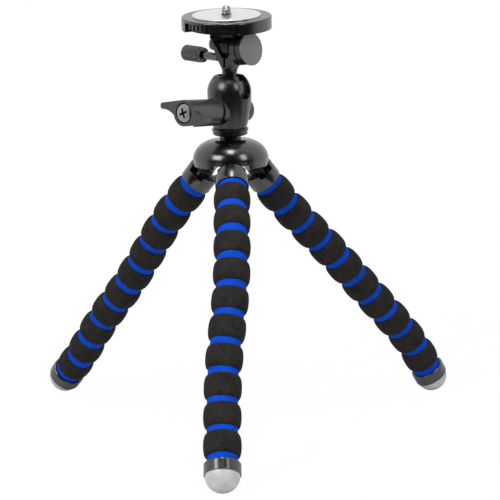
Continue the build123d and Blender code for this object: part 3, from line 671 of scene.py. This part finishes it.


# Lever screw: a round head with a cross recess painted near-black as shade, and a thin ring of
# painted shadow that it sits in

leverFrame = axisFrame(jointPoint("clamp_turn"), -jointAxis("clamp_turn"), Vector((0, 0, 1)))
bolt = {"headRadius": 5.9, "headHeight": 1.6, "edge": 0.5, "shank": 1.6, "steps": 72,
        "rimDrop": 0.05, "middleRise": 0.05, "dome": 0.35, "domeRadius": 0.6, "domeHeight": 0.4,
        "ringRadius": 6.75, "ringHeight": 0.12, "ringSunk": 0.2,
        "crossLength": 6.6, "crossWidth": 1.6, "crossDepth": 1.3, "turn": 22,
        # faces of the cross that take the painted shade are those this steep or this far down,
        # within this margin
        "pitSteep": 0.5, "pitDown": 0.6, "pitMargin": 0.05}


# gives the sunk faces of the cross recess the second material, a near-black painted shade
def paintCrossShade(shape, end):
    for face in shape.faces:
        centre = face.calc_center_median()
        across = sqrt(centre.x ** 2 + centre.y ** 2) / mm
        height = centre.z / mm
        inside = (across < bolt["crossLength"] / 2 + bolt["pitMargin"]
                  and height > end - bolt["crossDepth"] - bolt["pitMargin"])
        sunk = abs(face.normal.z) < bolt["pitSteep"] or height < end - bolt["pitDown"]
        face.material_index = 1 if inside and sunk else 0


def makeBolt():
    node = frame["nodes"]["lever_screw"]
    toLever = leverFrame.inverted() @ node.matrix_world
    heights = [(toLever @ point.co).z / mm for point in node.data.vertices]
    end, start = max(heights), min(heights)
    seat = end - bolt["headHeight"]
    radius = bolt["headRadius"]
    domeEdge = end + bolt["dome"] * bolt["domeHeight"] - bolt["rimDrop"]
    head = looseObject(lathe([(0, start), (bolt["shank"], start), (bolt["shank"], seat),
                              (radius, seat), (radius, end - bolt["edge"]),
                              (radius - bolt["edge"], end - bolt["rimDrop"]),
                              (radius * bolt["domeRadius"], domeEdge),
                              (0, end + bolt["middleRise"])], bolt["steps"]))
    for turn in (0, 90):
        bar = block(bolt["crossLength"], bolt["crossWidth"], 2 * bolt["crossDepth"], (0, 0, end))
        bmesh.ops.rotate(bar, cent=(0, 0, 0), verts=bar.verts,
                         matrix=Matrix.Rotation(radians(turn + bolt["turn"]), 3, "Z"))
        cutWith(head, looseObject(bar))
    shape = backToShape(head)
    paintCrossShade(shape, end)
    piece = finishPiece("leverScrew", shape, leverFrame, "steel", ["lever_screw"], sharpAngle=30)
    piece.data.materials.append(materials["pit"])
    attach(piece, "clamp")
    # a thin near-black ring round the head's seat: painted shadow under the head
    inner, ringTop = radius - bolt["ringSunk"], seat + bolt["ringHeight"]
    ring = lathe([(inner, seat), (bolt["ringRadius"], seat), (bolt["ringRadius"], ringTop),
                  (inner, ringTop)], bolt["steps"], closed=True)
    piece = finishPiece("leverScrewShadowRing", ring, leverFrame, "pit", ["lever_screw"])
    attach(piece, "clamp")


makeScrew()
makePad()
makeBolt()
print("head pieces made")


# Floor, world and lamps

# The floor, in metres from its middle to its edge, ends a little way in front of the part, so
# that upright gloss shows the dim room behind the camera and not the floor. dimFrom and
# brightFrom say where the room grows brighter: -1 is straight in front and 1 straight behind.
studio = {"floor": 0.34, "floorShade": 0.8, "floorGlow": 0.97, "soft": 0.4, "dim": 0.02,
          "dimFrom": -0.5, "brightFrom": 0.0}


def makeStage():
    floorMesh = bpy.data.meshes.new("floor")
    plane = bmesh.new()
    bmesh.ops.create_grid(plane, x_segments=1, y_segments=1, size=studio["floor"])
    plane.to_mesh(floorMesh)
    plane.free()
    floorPiece = bpy.data.objects.new("floor", floorMesh)
    bpy.context.scene.collection.objects.link(floorPiece)
    material = bpy.data.materials.new("paleFloor")
    material.use_nodes = True
    tree = material.node_tree
    tree.nodes.clear()
    shade = studio["floorShade"]
    seen = Wire(tree, None).node("ShaderNodeLightPath", output="Is Camera Ray")
    glow = seen.node("ShaderNodeEmission", {}, {"Color": (1, 1, 1, 1), "Strength": 1.0})
    plain = seen.node("ShaderNodeBsdfDiffuse", {}, {"Color": (shade, shade, shade, 1)})
    white = seen.node("ShaderNodeMixShader", {},
                      {0: seen * studio["floorGlow"], 1: plain, 2: glow})
    end = tree.nodes.new("ShaderNodeOutputMaterial")
    tree.links.new(white.socket, end.inputs["Surface"])
    floorMesh.materials.append(material)


# white backdrop for the camera, soft light on the part, and the room for gloss to show
def makeWorld():
    world = bpy.data.worlds.new("studio")
    bpy.context.scene.world = world
    world.use_nodes = True
    tree = world.node_tree
    tree.nodes.clear()
    start = Wire(tree, None)

    def background(shade, strength):
        return start.node("ShaderNodeBackground", {},
                          {"Color": (shade, shade, shade, 1), "Strength": strength})

    def blend(factor, first, second):
        return start.node("ShaderNodeMixShader", {}, {0: factor, 1: first, 2: second})

    seen = start.node("ShaderNodeLightPath", output="Is Camera Ray")
    glossy = start.node("ShaderNodeLightPath", output="Is Glossy Ray")
    clear = start.node("ShaderNodeLightPath", output="Is Transmission Ray")
    place = start.node("ShaderNodeTexCoord", output="Generated")
    towardsBack = place.node("ShaderNodeSeparateXYZ", {}, {0: place}, 1)
    ramp = towardsBack.smooth(studio["dimFrom"], studio["brightFrom"])
    room = blend(ramp * (1 - studio["dim"]) + studio["dim"], background(0, 1), background(1, 1))
    lit = blend(glossy, background(1, studio["soft"]), room)
    mixed = blend((seen + clear).atMost(1), lit, background(1, 1))
    end = tree.nodes.new("ShaderNodeOutputWorld")
    tree.links.new(mixed.socket, end.inputs["Surface"])


# places and sizes in metres, powers in watts
lamps = {
    "key": {"at": (-1.0, -0.95, 0.95), "size": (0.75, 0.75), "power": 15},
    "fill": {"at": (0.97, -1.0, 0.9), "size": (0.4, 0.75), "power": 7},
    "top": {"at": (0.0, -0.3, 1.3), "size": (0.3, 0.8), "power": 9},
}
lampTarget = Vector((hubAxis.x, hubAxis.y, 0.18))


def makeLamps():
    for name, lamp in lamps.items():
        data = bpy.data.lights.new(name, "AREA")
        data.shape = "RECTANGLE"
        data.size, data.size_y = lamp["size"]
        data.energy = lamp["power"]
        rig = bpy.data.objects.new(name, data)
        rig.location = lampTarget + Vector(lamp["at"])
        rig.rotation_euler = (-Vector(lamp["at"])).to_track_quat("-Z", "Y").to_euler()
        bpy.context.scene.collection.objects.link(rig)


makeStage()
makeWorld()
makeLamps()
bpy.context.scene.view_settings.view_transform = "Standard"
print("stage set")
